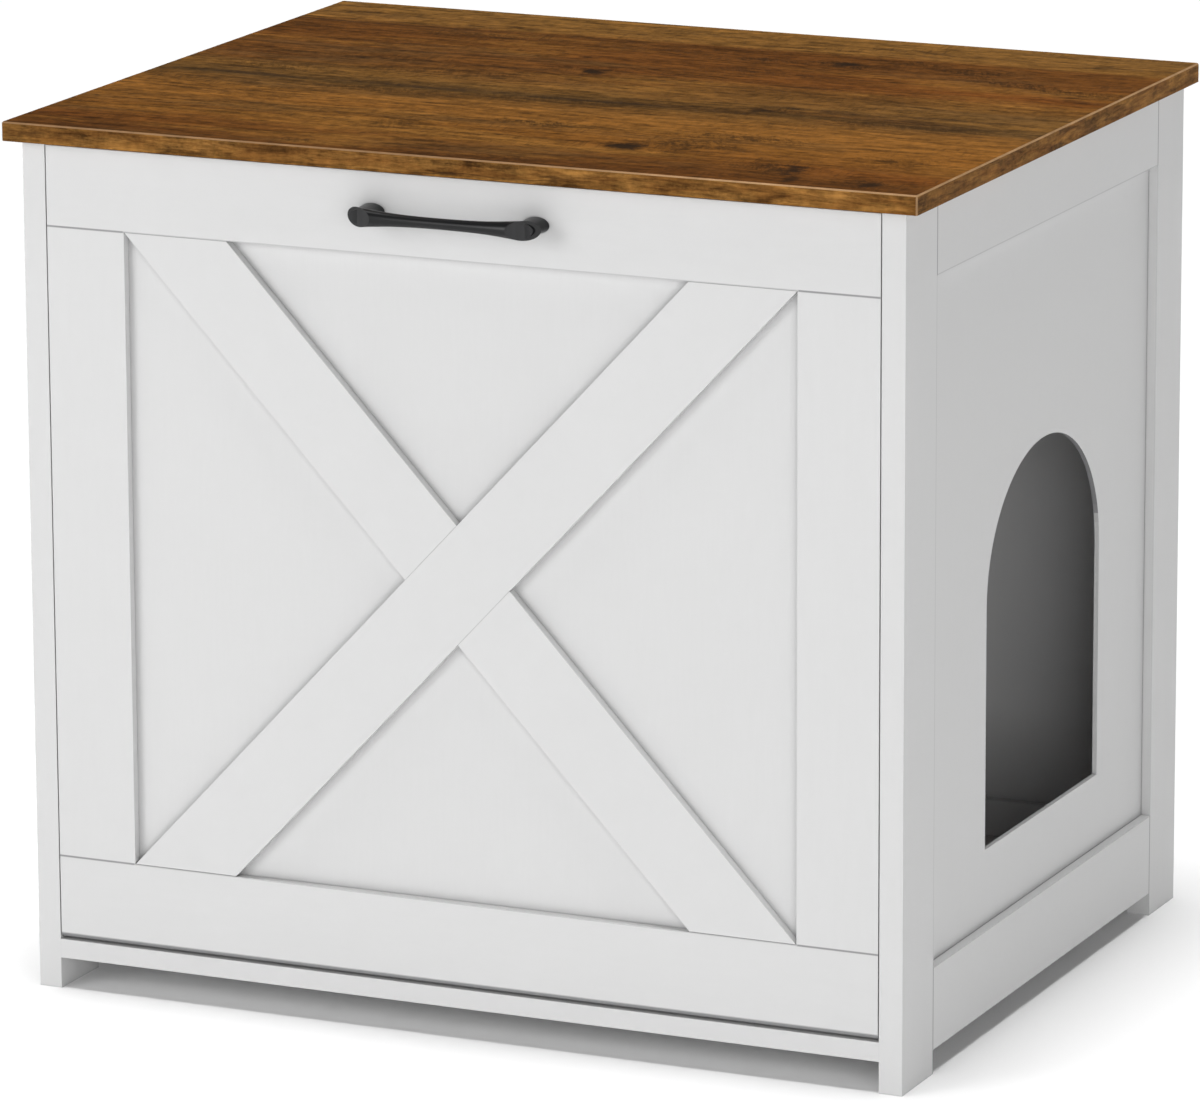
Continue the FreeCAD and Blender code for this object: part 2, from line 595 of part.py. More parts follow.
for a, ap, b, bp in ((0, 2, 1, 1), (1, 2, 2, 1), (2, 2, 3, 1)):
    sk.addConstraint(Sketcher.Constraint("Coincident", a, ap, b, bp))
sk.addConstraint(Sketcher.Constraint("Tangent", 3, 2, 4, 1))
sk.addConstraint(Sketcher.Constraint("Tangent", 4, 2, 0, 1))
sk.addConstraint(Sketcher.Constraint("PointOnObject", 0, 2, -1))
sk.addConstraint(Sketcher.Constraint("PointOnObject", 3, 1, -2))
sk.addConstraint(Sketcher.Constraint("Horizontal", 0))
sk.addConstraint(Sketcher.Constraint("Vertical", 1))
sk.addConstraint(Sketcher.Constraint("Horizontal", 2))
sk.addConstraint(Sketcher.Constraint("Vertical", 3))
for c, val in ((Sketcher.Constraint("DistanceX", -1, 1, 0, 2, t), D.frame_t),
               (Sketcher.Constraint("DistanceY", -1, 1, 1, 2, hh), D.door_rail_b),
               (Sketcher.Constraint("Radius", 4, rr), D.foot_round)):
    k = sk.addConstraint(c)
    sk.setExpression("Constraints[%d]" % k, val.text)
pad(rail, "door_rail_low_bar", sk, 2 * DX)
place(rail, (-DX, YF, DZ))
pin_hole = cyl("pin_hole", D.pin_dia + 2 * D.play, D.pin_len - D.pin_out + 0.5,
               (DX - D.pin_len + D.pin_out - 0.5, PIVOT_Y, PIVOT_Z), "+X")
rl_tools = low_holes + [pin_hole]
keep(cut("door_rail_bottom_", rail, rl_tools + [
    mirror("rl_tools_left", group("rl_tools_right", rl_tools)),
    box("door_rail_low_groove", (inner_w + 2 * D.groove_d, D.groove_w, D.groove_d + 1),
        (-IX - D.groove_d, door_mid - D.groove_w / 2, stile_lo - D.groove_d))]), "door_rail_bottom")

# top rail: two through holes with counterbores for the handle screws, seats for the strike plates
screw_x = D.handle_cc / 2
screw_hole = cyl("screw_hole", D.screw_dia + 0.4, D.frame_t + 2, (screw_x, YF - 1, D.handle_z), "+Y")
screw_seat = cyl("screw_seat", D.screw_head + 0.6, D.screw_head_t + 1.3, (screw_x, YF + D.frame_t - D.screw_head_t - 0.3, D.handle_z), "+Y")
strike_seat = cyl("strike_seat", D.strike_dia + 2 * D.play, D.strike_t + 1, (D.magnet_x, YF + D.frame_t - D.strike_t, D.magnet_z), "+Y")
strike_pilot = cyl("strike_pilot", 3.0 + 2 * D.play, 9.4, (D.magnet_x, YF + D.frame_t - 9.3, D.magnet_z), "+Y")
rt_tools = high_holes + [screw_hole, screw_seat, strike_seat, strike_pilot]
keep(cut("door_rail_top_", box("door_rail_top_board", (2 * DX, D.frame_t, D.door_rail_u), (-DX, YF, stile_hi)), rt_tools + [
    mirror("rt_tools_left", group("rt_tools_right", rt_tools)),
    box("door_rail_top_groove", (inner_w + 2 * D.groove_d, D.groove_w, D.groove_d + 1),
        (-IX - D.groove_d, door_mid - D.groove_w / 2, stile_hi - 1))]), "door_rail_top")

dpanel = doc.addObject("PartDesign::Body", "door_panel_")
pw, ph = inner_w + 2 * D.panel_in, inner_h + 2 * D.panel_in
sk = sketch(dpanel, "door_panel_outline", "XZ_Plane")
outline(sk, [(0, 0), (pw, 0), (pw, ph), (0, ph)])
pad(dpanel, "door_panel_sheet", sk, D.panel_t, True)
place(dpanel, (-IX - D.panel_in, door_mid - D.panel_t / 2, stile_lo - D.panel_in))
keep(dpanel, "door_panel")

# X brace: one whole strip from the lower left to the upper right corner and two half strips, all
# flush with the door frame and lying on the panel. Corners are measured from the inner lower left.
run = D.brace_run
slope = inner_h / (inner_w - run)
p1 = (inner_w / 2, slope * inner_w / 2)
p2 = ((inner_w - run) / 2, inner_h / 2)
p3 = (inner_w / 2, inner_h - slope * inner_w / 2)
p4 = ((inner_w + run) / 2, inner_h / 2)
SHAPES = {
    "brace_long": [(0, 0), (run, 0), (inner_w, inner_h), (inner_w - run, inner_h)],
    "brace_upper": [(0, inner_h), p2, p1, (run, inner_h)],
    "brace_lower": [(inner_w - run, 0), (inner_w, 0), p4, p3],
}
for name, pts in SHAPES.items():
    body = doc.addObject("PartDesign::Body", name + "_")
    sk = sketch(body, name + "_outline", "XZ_Plane")
    outline(sk, pts)
    pad(body, name + "_strip", sk, (D.frame_t - D.panel_t) / 2, True)
    place(body, (-IX, YF, stile_lo))
    keep(body, name)

keep(group("door_dowels_", door_dowels + [mirror("door_dowels_left", group("door_dowels_right", door_dowels))]), "door_dowels")
pin = cyl("pin_right", D.pin_dia, D.pin_len, (DX - D.pin_len + D.pin_out, PIVOT_Y, PIVOT_Z), "+X")
keep(group("door_pivot_pins_", [pin, mirror("pin_left", pin)]), "door_pivot_pins")

strike = cut("strike_right", cyl("strike_disc", D.strike_dia, D.strike_t - 0.1, (D.magnet_x, YF + D.frame_t - D.strike_t, D.magnet_z), "+Y"),
             [cyl("strike_hole", 3.4, 3.0, (D.magnet_x, YF + D.frame_t - 2, D.magnet_z), "+Y")])
keep(group("strike_plates_", [strike, mirror("strike_left", strike)]), "strike_plates")
strike_screw = cyl("strike_screw_right", 3.0, 9.0, (D.magnet_x, YF + D.frame_t - 9.2, D.magnet_z), "+Y")
keep(group("strike_screws_", [strike_screw, mirror("strike_screw_left", strike_screw)]), "strike_screws")

# ---------------------------------------------------------------- handle
# A bow pull cast in one piece: a bar that swells from a slim middle to both ends, where a slanting
# flat cut leaves an oval facet that faces forward and outward, and an oval foot behind each end.


def ellipse(name, major, minor, pos, rot):
    o = doc.addObject("Part::Ellipse", name)
    o.setExpression("MajorRadius", q(major).text)
    o.setExpression("MinorRadius", q(minor).text)
    return place(o, pos, rot)


def loft(name, sections, ruled=False):
    o = doc.addObject("Part::Loft", name)
    o.Sections = sections
    o.Solid = True
    o.Ruled = ruled
    return o


UPRIGHT = Rotation(Vector(0, 1, 0), -90)    # major axis up, across the bar
LEVEL = Rotation(Vector(1, 0, 0), 90)       # major axis level, facing the front
foot = loft("handle_foot_right", [
    ellipse("foot_base", D.foot_rx, D.foot_rz, (screw_x, YF, D.handle_z), LEVEL),
    ellipse("foot_neck", D.neck_rx, D.neck_rz, (screw_x - 0.4, YF - D.bar_axis * 0.5, D.handle_z), LEVEL),
    ellipse("foot_root", D.neck_rx - 0.6, D.neck_rz - 0.4, (screw_x - 0.8, YF - D.bar_axis + 1, D.handle_z), LEVEL)])
# place along the half length, and how far the section has grown from the middle one to the end one
grow = [(0.0, 0.0), (0.26, 0.05), (0.46, 0.19), (0.62, 0.42), (0.74, 0.66), (0.86, 0.90), (1.0, 1.0)]
sections = []
for side in (-1, 1):
    for f, g in (grow[::-1] if side < 0 else grow[1:]):
        sections.append(ellipse("bar_%s_%d" % ("l" if side < 0 else "r", round(f * 100)),
                                D.bar_mid_z + (D.bar_end_z - D.bar_mid_z) * g,
                                D.bar_mid_y + (D.bar_end_y - D.bar_mid_y) * g,
                                (D.handle_half * (side * f), YF - D.bar_axis, D.handle_z), UPRIGHT))
bar = loft("handle_bar", sections)
# the cutter's near face is the facet: it passes the bar's back line at the very end
slant = doc.addObject("Part::Box", "facet_cut_right")
slant.setExpression("Length", "60 mm")
slant.setExpression("Width", "30 mm")
slant.setExpression("Height", "40 mm")
place(slant, (D.handle_half, YF - D.bar_axis + D.bar_end_y, D.handle_z - 20), Rotation(Vector(0, 0, 1), 180 + D.facet_angle.val))
bar = cut("handle_bar_faceted", bar, [slant, mirror("facet_cut_left", slant)])
thread = cyl("handle_thread", D.screw_dia + 2 * D.play, 9.0, (screw_x, YF + 1, D.handle_z), "-Y")
keep(cut("handle_", fuse("handle_solid", [bar, foot, mirror("handle_foot_left", foot)]),
         [thread, mirror("handle_thread_left", thread)]), "handle")

screw = fuse("handle_screw_right", [
    cyl("screw_shaft", D.screw_dia, D.frame_t - D.screw_head_t - 0.2 + 7.5, (screw_x, YF + D.frame_t - D.screw_head_t - 0.1, D.handle_z), "-Y"),
    cyl("screw_cap", D.screw_head, D.screw_head_t, (screw_x, YF + D.frame_t - D.screw_head_t - 0.2, D.handle_z), "+Y")])
keep(group("handle_screws_", [screw, mirror("handle_screw_left", screw)]), "handle_screws")

# ---------------------------------------------------------------- check and write
doc.recompute()
bad = [o.Name for o in doc.Objects if "Invalid" in o.State or "Error" in o.State]
if bad:
    raise RuntimeError("failed features: " + ", ".join(bad))
labels = [o.Label for o in KEPT]
if len(set(labels)) != len(labels):
    raise RuntimeError("labels repeat")
for o in KEPT:
    if o.Shape.isNull() or not o.Shape.isValid() or not o.Shape.Solids:
        raise RuntimeError("bad shape: " + o.Label)
lo = [min(getattr(o.Shape.BoundBox, k) for o in KEPT) for k in ("XMin", "YMin", "ZMin")]
hi = [max(getattr(o.Shape.BoundBox, k) for o in KEPT) for k in ("XMax", "YMax", "ZMax")]
print("overall box", [round(v, 2) for v in lo], [round(v, 2) for v in hi])
for o in KEPT:
    o.Shape.exportStep("parts/%s.step" % o.Label)
    print("%-26s solids %2d  volume %.1f cm3" % (o.Label, len(o.Shape.Solids), o.Shape.Volume / 1000))
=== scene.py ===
import math
import bpy
from mathutils import Matrix, Vector

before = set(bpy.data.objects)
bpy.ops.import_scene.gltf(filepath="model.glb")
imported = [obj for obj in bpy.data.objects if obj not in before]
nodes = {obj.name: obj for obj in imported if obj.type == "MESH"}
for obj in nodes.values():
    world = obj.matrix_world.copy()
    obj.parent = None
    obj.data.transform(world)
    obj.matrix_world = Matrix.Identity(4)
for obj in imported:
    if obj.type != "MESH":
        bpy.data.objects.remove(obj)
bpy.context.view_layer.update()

scene = bpy.context.scene


# ---------------------------------------------------------------- material helpers
def srgb(r, g, b):
    """A colour given as 0-255 display values, in linear light."""
    out = []
    for c in (r, g, b):
        c /= 255.0
        out.append(c / 12.92 if c <= 0.04045 else ((c + 0.055) / 1.055) ** 2.4)
    return (*out, 1.0)


class Tree:
    """A material's node tree, with short names for the nodes used here."""

    def __init__(self, name):
        self.mat = bpy.data.materials.new(name)
        self.mat.use_nodes = True
        self.t = self.mat.node_tree
        self.t.nodes.clear()
        self.out = self.add("ShaderNodeOutputMaterial")
        self.bsdf = self.add("ShaderNodeBsdfPrincipled")
        self.join(self.bsdf.outputs[0], self.out.inputs["Surface"])
        self.coord = self.add("ShaderNodeTexCoord").outputs["Object"]

    def add(self, kind, **props):
        n = self.t.nodes.new(kind)
        for k, v in props.items():
            setattr(n, k, v)
        return n

    def join(self, a, b):
        self.t.links.new(a, b)

    def put(self, socket, value):
        if isinstance(value, bpy.types.NodeSocket):
            self.join(value, socket)
        else:
            socket.default_value = value

    def math(self, op, a, b=0.0, c=0.0, clamp=False):
        n = self.add("ShaderNodeMath", operation=op, use_clamp=clamp)
        self.put(n.inputs[0], a)
        self.put(n.inputs[1], b)
        self.put(n.inputs[2], c)
        return n.outputs[0]

    def step(self, x, lo, hi, a=0.0, b=1.0):
        """Goes smoothly from a to b as x goes from lo to hi."""
        n = self.add("ShaderNodeMapRange", interpolation_type="SMOOTHSTEP")
        self.put(n.inputs["Value"], x)
        self.put(n.inputs["From Min"], lo)
        self.put(n.inputs["From Max"], hi)
        self.put(n.inputs["To Min"], a)
        self.put(n.inputs["To Max"], b)
        return n.outputs[0]

    def xyz(self, v):
        n = self.add("ShaderNodeSeparateXYZ")
        self.join(v, n.inputs[0])
        return n.outputs

    def vec(self, x, y, z):
        n = self.add("ShaderNodeCombineXYZ")
        for s, v in zip(n.inputs, (x, y, z)):
            self.put(s, v)
        return n.outputs[0]

    def mapped(self, v, scale, shift=(0.0, 0.0, 0.0)):
        n = self.add("ShaderNodeMapping")
        self.join(v, n.inputs["Vector"])
        n.inputs["Scale"].default_value = scale
        n.inputs["Location"].default_value = shift
        return n.outputs[0]

    def noise(self, v, scale=(1.0, 1.0, 1.0), detail=3.0, rough=0.5, shift=(0.0, 0.0, 0.0), distort=0.0):
        n = self.add("ShaderNodeTexNoise")
        self.join(self.mapped(v, scale, shift), n.inputs["Vector"])
        n.inputs["Scale"].default_value = 1.0
        n.inputs["Detail"].default_value = detail
        n.inputs["Roughness"].default_value = rough
        n.inputs["Distortion"].default_value = distort
        return n.outputs["Fac"]

    def mix(self, f, a, b, how="MIX"):
        n = self.add("ShaderNodeMix", data_type="RGBA", blend_type=how)
        self.put(n.inputs["Factor"], f)
        ins = [s for s in n.inputs if s.type == "RGBA"]
        self.put(ins[0], a)
        self.put(ins[1], b)
        return [s for s in n.outputs if s.type == "RGBA"][0]

    def ramp(self, f, stops, how="LINEAR"):
        n = self.add("ShaderNodeValToRGB")
        n.color_ramp.interpolation = how
        e = n.color_ramp.elements
        while len(e) < len(stops):
            e.new(0.5)
        for el, (p, c) in zip(e, stops):
            el.position = p
            el.color = c
        self.put(n.inputs[0], f)
        return n.outputs[0]

    def bump(self, height, distance, strength=1.0, normal=None):
        n = self.add("ShaderNodeBump")
        n.inputs["Strength"].default_value = strength
        n.inputs["Distance"].default_value = distance
        self.join(height, n.inputs["Height"])
        if normal is not None:
            self.join(normal, n.inputs["Normal"])
        return n.outputs[0]

    def finish(self, color, rough, normal=None, metallic=0.0, specular=0.5, coat=0.0, coat_rough=0.1):
        i = self.bsdf.inputs
        self.put(i["Base Color"], color)
        self.put(i["Roughness"], rough)
        i["Metallic"].default_value = metallic
        i["Specular IOR Level"].default_value = specular
        i["Coat Weight"].default_value = coat
        i["Coat Roughness"].default_value = coat_rough
        if normal is not None:
            self.join(normal, i["Normal"])
        return self.mat


# ---------------------------------------------------------------- wood-look top board
def wood_top():
    m = Tree("top_wood")
    geo = m.add("ShaderNodeNewGeometry")
    nx, ny, nz = m.xyz(geo.outputs["True Normal"])
    ax, ay, az = (m.math("ABSOLUTE", v) for v in (nx, ny, nz))
    x0, y0, z0 = m.xyz(m.coord)
    on_end = m.math("GREATER_THAN", ax, 0.9)
    # the edge band on the two ends has its grain along the edge
    gx = m.math("ADD", x0, m.math("MULTIPLY", on_end, m.math("SUBTRACT", y0, x0)))
    gy = m.math("ADD", y0, m.math("MULTIPLY", on_end, m.math("SUBTRACT", x0, y0)))
    base = m.vec(gx, gy, z0)

    # slow wander of the grain, and its flow round the knots
    wander = m.math("MULTIPLY", m.math("SUBTRACT", m.noise(base, (3.2, 9.0, 9.0), 2.0, 0.5), 0.5), 0.030)
    y = m.math("ADD", gy, wander)
    # middle x, middle y, half length, half width (metres), strength of the bend
    for kx, ky, a, b, s in ((0.081, -0.149, 0.060, 0.020, 0.55), (-0.039, 0.062, 0.050, 0.016, 0.50),
                            (0.204, -0.186, 0.055, 0.020, 0.45), (0.140, 0.155, 0.070, 0.018, 0.40),
                            (-0.070, 0.110, 0.030, 0.008, 0.45)):
        dx = m.math("DIVIDE", m.math("SUBTRACT", gx, kx), a)
        dy = m.math("DIVIDE", m.math("SUBTRACT", y, ky), b)
        r2 = m.math("ADD", m.math("MULTIPLY", dx, dx), m.math("MULTIPLY", dy, dy))
        fall = m.math("EXPONENT", m.math("MULTIPLY", r2, -0.8))
        y = m.math("ADD", y, m.math("MULTIPLY", m.math("MULTIPLY", m.math("SUBTRACT", y, ky), fall), -s))
    p = m.vec(gx, y, z0)

    # broad boards of different tone, front to back
    edge = m.math("MULTIPLY", m.math("SUBTRACT", m.noise(p, (5.0, 40.0, 40.0), 4.0, 0.6), 0.5), 0.05)
    w = m.math("ADD", m.math("DIVIDE", m.math("SUBTRACT", 0.24475, y), 0.473), edge)
    tone = m.ramp(w, [
        (0.00, srgb(124, 88, 42)), (0.115, srgb(122, 84, 39)), (0.135, srgb(96, 59, 24)),
        (0.30, srgb(104, 63, 25)), (0.43, srgb(103, 68, 30)), (0.50, srgb(110, 77, 37)),
        (0.572, srgb(86, 61, 30)), (0.615, srgb(116, 78, 35)), (0.66, srgb(130, 86, 37)),
        (0.80, srgb(124, 80, 32)), (0.89, srgb(106, 66, 26)), (0.955, srgb(94, 57, 23)), (1.0, srgb(88, 53, 21))])

    # patches of redder, more golden and greyer wood
    red = m.noise(p, (2.6, 14.0, 14.0), 3.0, 0.55, (4.1, 1.3, 0.0))
    gold = m.noise(p, (3.4, 17.0, 17.0), 4.0, 0.6, (0.7, 5.2, 0.0))
    grey = m.noise(p, (4.0, 20.0, 20.0), 4.0, 0.6, (9.3, 2.8, 0.0))
    tone = m.mix(m.step(red, 0.50, 0.72, 0.0, 0.45), tone, srgb(106, 58, 22))
    tone = m.mix(m.step(gold, 0.50, 0.70, 0.0, 0.65), tone, srgb(142, 98, 44))
    tone = m.mix(m.step(grey, 0.52, 0.72, 0.0, 0.60), tone, srgb(86, 63, 36))

    # streaks along the grain at four sizes
    s1 = m.noise(p, (5.0, 70.0, 70.0), 4.0, 0.65, (3.0, 0.0, 0.0))
    s2 = m.noise(p, (11.0, 240.0, 240.0), 4.0, 0.65, (0.0, 7.0, 0.0))
    s3 = m.noise(p, (30.0, 750.0, 750.0), 3.0, 0.6, (5.0, 5.0, 0.0))
    s4 = m.noise(p, (160.0, 900.0, 900.0), 2.0, 0.6, (1.0, 8.0, 0.0))
    mott = m.noise(p, (34.0, 150.0, 150.0), 6.0, 0.74, (7.0, 2.0, 0.0), 0.5)
    blot = m.noise(p, (95.0, 210.0, 210.0), 3.0, 0.7, (2.0, 6.0, 0.0))
    fleck = m.noise(p, (210.0, 130.0, 130.0), 3.0, 0.7, (3.5, 4.5, 0.0))
    # the tone is scaled from 90% at x = -0.05 up to 110% at x = 0.30, lighter towards the right
    gain = m.step(gx, -0.05, 0.30, 0.90, 1.10)
    for fac, k in ((s1, 0.66), (s2, 1.00), (s3, 0.80), (s4, 0.45), (mott, 1.25), (blot, 0.80), (fleck, 0.85)):
        gain = m.math("ADD", m.math("MULTIPLY", m.math("SUBTRACT", fac, 0.5), k), gain)
    fib = m.step(m.noise(p, (13.0, 105.0, 105.0), 5.0, 0.78, (2.5, 8.0, 0.0)), 0.38, 0.62, -0.17, 0.15)
    fib2 = m.step(m.noise(p, (48.0, 150.0, 150.0), 4.0, 0.75, (6.5, 1.0, 0.0)), 0.40, 0.60, -0.20, 0.17)
    gain = m.math("MAXIMUM", m.math("ADD", gain, m.math("ADD", fib, fib2)), 0.30)

    # worn patches: short dashes along the grain and fine saw marks across it
    dash = m.step(m.noise(p, (150.0, 520.0, 520.0), 3.0, 0.65, (4.0, 4.0, 0.0)), 0.54, 0.66)
    dash = m.math("MULTIPLY", dash, m.step(m.noise(p, (8.0, 26.0, 26.0), 4.0, 0.65, (5.0, 9.0, 0.0)), 0.46, 0.62))
    saw = m.step(m.noise(m.vec(m.math("ADD", gx, m.math("MULTIPLY", gy, 0.12)), gy, z0), (420.0, 48.0, 48.0), 3.0, 0.6, (8.0, 1.0, 0.0)), 0.53, 0.66)
    saw = m.math("MULTIPLY", saw, m.step(m.noise(p, (10.0, 30.0, 30.0), 4.0, 0.65, (1.0, 3.0, 0.0)), 0.48, 0.64))
    wear = m.math("MAXIMUM", m.math("MULTIPLY", dash, 0.75), m.math("MULTIPLY", saw, 0.60))

    # thin dark lines where the grain opens
    line = m.noise(p, (6.0, 62.0, 62.0), 4.0, 0.60, (2.0, 3.0, 0.0))
    line = m.math("ABSOLUTE", m.math("SUBTRACT", line, 0.5))
    where = m.step(m.noise(p, (5.0, 22.0, 22.0), 3.0, 0.6, (6.0, 1.0, 0.0)), 0.50, 0.66)
    line = m.math("MULTIPLY", m.step(line, 0.004, 0.026, 1.0, 0.0), where)

    # hatched smudges, long dark streaks and knots: x, y, half length, half width, strength, tilt
    hatch = m.noise(p, (120.0, 210.0, 210.0), 4.0, 0.75, (3.0, 9.0, 0.0), 0.4)
    cross = m.noise(m.vec(m.math("ADD", gx, m.math("MULTIPLY", y, 0.45)), y, z0), (330.0, 70.0, 70.0), 3.0, 0.65, (2.0, 2.0, 0.0))
    hatch = m.math("ADD", m.math("MULTIPLY", hatch, 0.6), m.math("MULTIPLY", cross, 0.4))
    hatch = m.step(hatch, 0.42, 0.58, 0.12, 1.0)
    ragged = m.noise(p, (60.0, 150.0, 150.0), 5.0, 0.78, (1.0, 4.0, 0.0))
    ragged = m.math("MULTIPLY", m.math("SUBTRACT", ragged, 0.5), 3.0)

    def spot(kx, ky, a, b, s, tilt=0.0):
        dx0 = m.math("SUBTRACT", gx, kx)
        dy0 = m.math("SUBTRACT", y, ky)
        dy1 = m.math("ADD", dy0, m.math("MULTIPLY", dx0, tilt))
        dx = m.math("DIVIDE", dx0, a)
        dy = m.math("DIVIDE", dy1, b)
        r = m.math("SQRT", m.math("ADD", m.math("MULTIPLY", dx, dx), m.math("MULTIPLY", dy, dy)))
        return m.math("MULTIPLY", m.step(m.math("ADD", r, ragged), 0.25, 1.15, 1.0, 0.0), s)

    def most(items):
        top = items[0]
        for i in items[1:]:
            top = m.math("MAXIMUM", top, i)
        return top

    smudges = most([spot(*k) for k in (
        (0.045, 0.150, 0.030, 0.012, 0.85), (0.098, 0.153, 0.036, 0.012, 0.95), (0.138, 0.168, 0.036, 0.014, 0.85),
        (0.185, 0.158, 0.030, 0.014, 1.00), (0.232, 0.124, 0.065, 0.014, 0.95, 0.30), (0.285, 0.112, 0.050, 0.010, 0.75),
        (0.002, -0.105, 0.042, 0.011, 0.95), (0.142, -0.100, 0.055, 0.018, 0.90), (0.118, -0.137, 0.036, 0.026, 0.85),
        (-0.078, -0.142, 0.022, 0.030, 0.60), (0.190, -0.182, 0.032, 0.020, 0.90), (0.255, -0.140, 0.036, 0.022, 0.60),
        (0.032, -0.214, 0.036, 0.009, 0.75), (-0.105, -0.211, 0.026, 0.008, 0.75), (-0.235, 0.012, 0.045, 0.018, 0.70),
        (-0.110, 0.028, 0.075, 0.016, 0.70), (-0.155, 0.163, 0.060, 0.014, 0.65), (-0.280, 0.158, 0.030, 0.012, 0.60),
        (0.215, -0.030, 0.075, 0.014, 0.65), (-0.130, -0.038, 0.075, 0.012, 0.75), (0.055, 0.108, 0.045, 0.016, 0.60),
        (0.262, -0.205, 0.030, 0.018, 0.85), (-0.050, 0.068, 0.040, 0.010, 0.70), (-0.030, -0.030, 0.080, 0.012, 0.65),
        (0.120, -0.012, 0.020, 0.014, 0.90), (-0.200, 0.060, 0.060, 0.010, 0.50), (-0.190, -0.085, 0.030, 0.020, 0.45))])
    streaks = most([spot(*k) for k in (
        (-0.235, -0.020, 0.050, 0.006, 0.85), (-0.110, -0.019, 0.090, 0.005, 0.95), (0.010, -0.024, 0.075, 0.004, 0.90),
        (0.150, -0.004, 0.050, 0.005, 0.75), (0.240, -0.002, 0.090, 0.004, 0.65), (-0.215, 0.181, 0.150, 0.0025, 0.75),
        (-0.235, -0.166, 0.070, 0.0022, 0.60), (-0.190, -0.140, 0.060, 0.0020, 0.55), (-0.085, 0.058, 0.045, 0.004, 0.60),
        (0.100, 0.108, 0.080, 0.003, 0.55), (0.255, 0.108, 0.045, 0.003, 0.60), (-0.170, -0.176, 0.120, 0.0018, 0.50))])
    knots = most([spot(*k) for k in (
        (-0.039, 0.062, 0.012, 0.008, 1.0), (0.081, -0.149, 0.014, 0.010, 1.0), (0.204, -0.184, 0.008, 0.012, 0.95),
        (-0.064, 0.111, 0.008, 0.004, 0.85), (0.098, 0.156, 0.009, 0.006, 0.85), (0.214, -0.206, 0.006, 0.016, 0.8, 0.0),
        (0.262, -0.206, 0.008, 0.012, 0.8), (-0.195, 0.058, 0.007, 0.004, 0.7), (0.110, -0.016, 0.008, 0.010, 0.7))])

    flat = m.step(az, 0.5, 0.9)                       # 1 on the big face, 0 on the edges
    smudge = m.math("MULTIPLY", m.math("MULTIPLY", smudges, hatch), flat)
    streak = m.math("MULTIPLY", m.math("MULTIPLY", streaks, m.math("ADD", m.math("MULTIPLY", hatch, 0.5), 0.5)), flat)
    knot = m.math("MULTIPLY", knots, flat)

    # the edge band is lighter and more golden, with a flame figure
    flame = m.noise(base, (22.0, 60.0, 150.0), 4.0, 0.6, (8.0, 0.0, 3.0), 0.8)
    flame2 = m.noise(base, (45.0, 200.0, 420.0), 3.0, 0.6, (1.0, 0.0, 2.0), 0.6)
    band = m.ramp(flame, [(0.28, srgb(84, 53, 22)), (0.42, srgb(112, 75, 34)), (0.55, srgb(126, 88, 42)), (0.75, srgb(140, 99, 50))])
    band = m.mix(m.step(flame2, 0.50, 0.66, 0.0, 0.60), band, srgb(84, 53, 22))
    tone = m.mix(flat, band, tone)

    scaled = m.add("ShaderNodeVectorMath", operation="SCALE")
    m.join(tone, scaled.inputs[0])
    m.join(gain, scaled.inputs["Scale"])
    col = scaled.outputs[0]
    col = m.mix(m.math("MULTIPLY", m.math("MULTIPLY", wear, flat), 0.75), col, srgb(54, 36, 18))
    col = m.mix(m.math("MULTIPLY", line, 0.65), col, srgb(52, 34, 17))
    col = m.mix(m.math("MULTIPLY", smudge, 0.84), col, srgb(46, 33, 20))
    col = m.mix(m.math("MULTIPLY", streak, 0.80), col, srgb(48, 35, 24))
    col = m.mix(m.math("MULTIPLY", knot, 0.92), col, srgb(36, 27, 19))

    # worn, paler arris round the board: faces that lie at 45 degrees
    big = m.math("MAXIMUM", m.math("MAXIMUM", ax, ay), az)
    arris = m.step(big, 0.80, 0.93, 1.0, 0.0)
    scuff = m.noise(base, (60.0, 60.0, 60.0), 3.0, 0.6)
    pale = m.mix(m.step(gx, -0.02, 0.22),
                 m.ramp(scuff, [(0.3, srgb(122, 94, 66)), (0.7, srgb(144, 112, 80))]),
                 m.ramp(scuff, [(0.3, srgb(146, 115, 82)), (0.7, srgb(172, 137, 100))]))
    col = m.mix(arris, col, pale)

    rough = m.math("ADD", m.math("MULTIPLY", s2, 0.16), 0.50)
    rough = m.math("ADD", rough, m.math("MULTIPLY", m.math("MAXIMUM", knot, smudge), 0.12))
    deep = m.math("ADD", m.math("MULTIPLY", s3, 0.45), m.math("MULTIPLY", s4, 0.25))
    deep = m.math("SUBTRACT", deep, m.math("MULTIPLY", line, 0.6))
    deep = m.math("SUBTRACT", deep, m.math("MULTIPLY", m.math("MAXIMUM", streak, knot), 0.4))
    return m.finish(col, rough, m.bump(deep, 0.00012, 0.7), specular=0.03)


# ---------------------------------------------------------------- white laminate
# joint planes of the frames, in metres: door rails and stiles, side rails and posts
FRONT = -0.22025
DOOR_LOW, DOOR_HIGH, DOOR_IN = 0.0858, 0.4840, 0.2217
SIDE_LOW, SIDE_HIGH = 0.0665, 0.4895
POST_FRONT, POST_BACK = FRONT + 0.0490, 0.24475 - 0.0455


